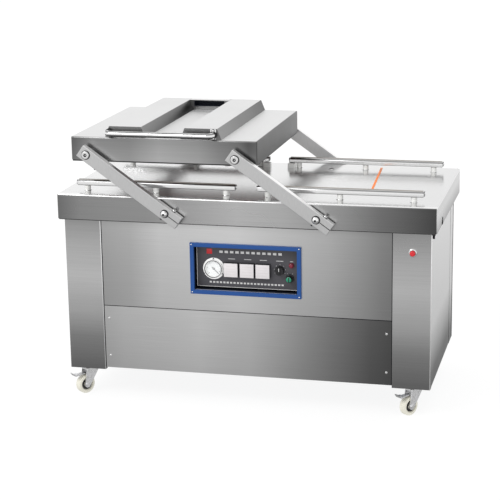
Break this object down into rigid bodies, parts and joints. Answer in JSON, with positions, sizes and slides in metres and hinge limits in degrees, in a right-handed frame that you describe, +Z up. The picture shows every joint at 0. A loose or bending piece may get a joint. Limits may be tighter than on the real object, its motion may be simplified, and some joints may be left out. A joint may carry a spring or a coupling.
{
  "type": "double chamber vacuum packing machine",
  "caption": "Floor-standing vacuum packing machine on casters: cabinet, worktable with sealing bars, and one swing-over lid on parallel arms for two chambers.",
  "frame": {"origin": "on the floor, under the centre of the machine", "axes": "+X to the right along the table, +Y to the rear, +Z up"},
  "size_m": [1.48, 0.86, 1.0979],
  "materials": {
    "brushed_stainless": "brushed",
    "arm_steel": "satin",
    "chromed": "polished",
    "zinc_steel": "satin",
    "frame_steel": "matte",
    "bar_aluminium": "satin",
    "white_plastic": "satin",
    "black_plastic": "satin",
    "blue_frame": "satin",
    "dark_sheet": "matte",
    "instrument_plate": "satin",
    "gauge_metal": "polished",
    "red_plastic": "gloss",
    "green_plastic": "gloss",
    "black_rubber": "matte",
    "pad_silicone": "matte",
    "cast_housing": "matte",
    "machine_grey": "satin",
    "motor_grey": "satin",
    "brass": "satin",
    "nylon": "satin"
  },
  "bodies": {
    "cabinet": {"worktable": "brushed_stainless", "bar_cylinders": "bar_aluminium", "terminal_blocks": "white_plastic", "base_frame": "frame_steel", "corner_pillars": "brushed_stainless", "front_upper_panel": "brushed_stainless", "front_lower_panel": "brushed_stainless", "rear_panel": "brushed_stainless", "side_panels": "brushed_stainless", "panel_screws": "chromed", "cable_gland": "black_plastic", "control_bezel": "blue_frame", "control_housing": "dark_sheet", "control_plate": "instrument_plate", "gauge_case": "gauge_metal", "timer_modules": "black_plastic", "switch_collars": "black_plastic", "power_lamp": "red_plastic", "shaft_bearings": "cast_housing", "caster_plates": "zinc_steel", "vacuum_pump": "machine_grey", "pump_motor": "motor_grey", "vacuum_piping": "brushed_stainless", "solenoid_valves": "brass", "transformer": "machine_grey", "electrical_tray": "machine_grey"},
    "swing_left": {"swing_shaft_left": "chromed", "arm_front_left": "arm_steel", "arm_rear_left": "arm_steel", "clamp_bolts_left": "chromed"},
    "swing_right": {"swing_shaft_right": "chromed", "arm_front_right": "arm_steel", "arm_rear_right": "arm_steel", "clamp_bolts_right": "chromed"},
    "lid": {"lid_shell": "brushed_stainless", "lid_channels": "brushed_stainless", "lid_crosspiece": "brushed_stainless", "lid_handle": "chromed", "lid_gasket": "black_rubber", "pressure_pads": "pad_silicone", "lid_pins": "chromed"},
    "bar_front_left": {"seal_bar_front_left": "bar_aluminium"},
    "bar_front_right": {"seal_bar_front_right": "bar_aluminium"},
    "bar_rear_left": {"seal_bar_rear_left": "bar_aluminium"},
    "bar_rear_right": {"seal_bar_rear_right": "bar_aluminium"},
    "needle": {"gauge_needle": "black_plastic"},
    "heat_dial": {"heat_knob": "black_plastic"},
    "power_dial": {"power_knob": "green_plastic"},
    "stop_plunger": {"stop_button": "red_plastic"},
    "fork_front_left": {"caster_fork_front_left": "zinc_steel"},
    "wheel_front_left": {"caster_wheel_front_left": "nylon"},
    "pedal_left": {"brake_pedal_left": "zinc_steel"},
    "fork_front_right": {"caster_fork_front_right": "zinc_steel"},
    "wheel_front_right": {"caster_wheel_front_right": "nylon"},
    "pedal_right": {"brake_pedal_right": "zinc_steel"},
    "fork_rear_left": {"caster_fork_rear_left": "zinc_steel"},
    "wheel_rear_left": {"caster_wheel_rear_left": "nylon"},
    "fork_rear_right": {"caster_fork_rear_right": "zinc_steel"},
    "wheel_rear_right": {"caster_wheel_rear_right": "nylon"}
  },
  "joints": [
    {"name": "left_arm_swing", "type": "hinge", "parent": "cabinet", "child": "swing_left", "pos_m": [-0.2935, 0, 0.775], "axis": [0, 1, 0], "range_deg": [-21.4, 130.8], "stiffness_Nm_per_rad": 150, "springref_deg": 54.7},
    {"name": "right_arm_swing", "type": "hinge", "parent": "cabinet", "child": "swing_right", "pos_m": [0.2935, 0, 0.775], "axis": [0, 1, 0], "range_deg": [-21.4, 130.8]},
    {"name": "lid_level", "type": "hinge", "parent": "swing_left", "child": "lid", "pos_m": [-0.60118, 0, 0.99285], "axis": [0, 1, 0], "range_deg": [-130.8, 21.4]},
    {"name": "bar_front_left_lift", "type": "slide", "parent": "cabinet", "child": "bar_front_left", "axis": [0, 0, 1], "range_m": [0, 0.008]},
    {"name": "bar_front_right_lift", "type": "slide", "parent": "cabinet", "child": "bar_front_right", "axis": [0, 0, 1], "range_m": [0, 0.008]},
    {"name": "bar_rear_left_lift", "type": "slide", "parent": "cabinet", "child": "bar_rear_left", "axis": [0, 0, 1], "range_m": [0, 0.008]},
    {"name": "bar_rear_right_lift", "type": "slide", "parent": "cabinet", "child": "bar_rear_right", "axis": [0, 0, 1], "range_m": [0, 0.008]},
    {"name": "gauge_needle_turn", "type": "hinge", "parent": "cabinet", "child": "needle", "pos_m": [-0.1276, -0.3275, 0.5455], "axis": [0, 1, 0], "range_deg": [-270, 0]},
    {"name": "heat_knob_turn", "type": "hinge", "parent": "cabinet", "child": "heat_dial", "pos_m": [0.134, -0.33, 0.5494], "axis": [0, 1, 0], "range_deg": [-45, 45]},
    {"name": "power_knob_turn", "type": "hinge", "parent": "cabinet", "child": "power_dial", "pos_m": [0.1728, -0.335, 0.52], "axis": [0, 1, 0], "range_deg": [0, 60]},
    {"name": "stop_button_press", "type": "slide", "parent": "cabinet", "child": "stop_plunger", "axis": [0, 1, 0], "range_m": [0, 0.004], "stiffness_N_per_m": 400},
    {"name": "caster_front_left_swivel", "type": "hinge", "parent": "cabinet", "child": "fork_front_left", "pos_m": [-0.655, -0.29, 0.1], "axis": [0, 0, 1], "continuous": true},
    {"name": "wheel_front_left_spin", "type": "hinge", "parent": "fork_front_left", "child": "wheel_front_left", "pos_m": [-0.67606, -0.31795, 0.0375], "axis": [0.7986, -0.6018, 0], "continuous": true},
    {"name": "brake_pedal_left_press", "type": "hinge", "parent": "fork_front_left", "child": "pedal_left", "pos_m": [-0.66102, -0.29799, 0.086], "axis": [0.7986, -0.6018, 0], "range_deg": [0, 8], "stiffness_Nm_per_rad": 1.5, "springref_deg": -5.73},
    {"name": "caster_front_right_swivel", "type": "hinge", "parent": "cabinet", "child": "fork_front_right", "pos_m": [0.655, -0.29, 0.1], "axis": [0, 0, 1], "continuous": true},
    {"name": "wheel_front_right_spin", "type": "hinge", "parent": "fork_front_right", "child": "wheel_front_right", "pos_m": [0.63394, -0.31795, 0.0375], "axis": [0.7986, -0.6018, 0], "continuous": true},
    {"name": "brake_pedal_right_press", "type": "hinge", "parent": "fork_front_right", "child": "pedal_right", "pos_m": [0.64898, -0.29799, 0.086], "axis": [0.7986, -0.6018, 0], "range_deg": [0, 8], "stiffness_Nm_per_rad": 1.5, "springref_deg": -5.73},
    {"name": "caster_rear_left_swivel", "type": "hinge", "parent": "cabinet", "child": "fork_rear_left", "pos_m": [-0.655, 0.29, 0.1], "axis": [0, 0, 1], "continuous": true},
    {"name": "wheel_rear_left_spin", "type": "hinge", "parent": "fork_rear_left", "child": "wheel_rear_left", "pos_m": [-0.67606, 0.26205, 0.0375], "axis": [0.7986, -0.6018, 0], "continuous": true},
    {"name": "caster_rear_right_swivel", "type": "hinge", "parent": "cabinet", "child": "fork_rear_right", "pos_m": [0.655, 0.29, 0.1], "axis": [0, 0, 1], "continuous": true},
    {"name": "wheel_rear_right_spin", "type": "hinge", "parent": "fork_rear_right", "child": "wheel_rear_right", "pos_m": [0.63394, 0.26205, 0.0375], "axis": [0.7986, -0.6018, 0], "continuous": true}
  ],
  "couplings": [
    {"joint": "right_arm_swing", "follows": "left_arm_swing", "ratio": 1},
    {"joint": "lid_level", "follows": "left_arm_swing", "ratio": -1}
  ]
}
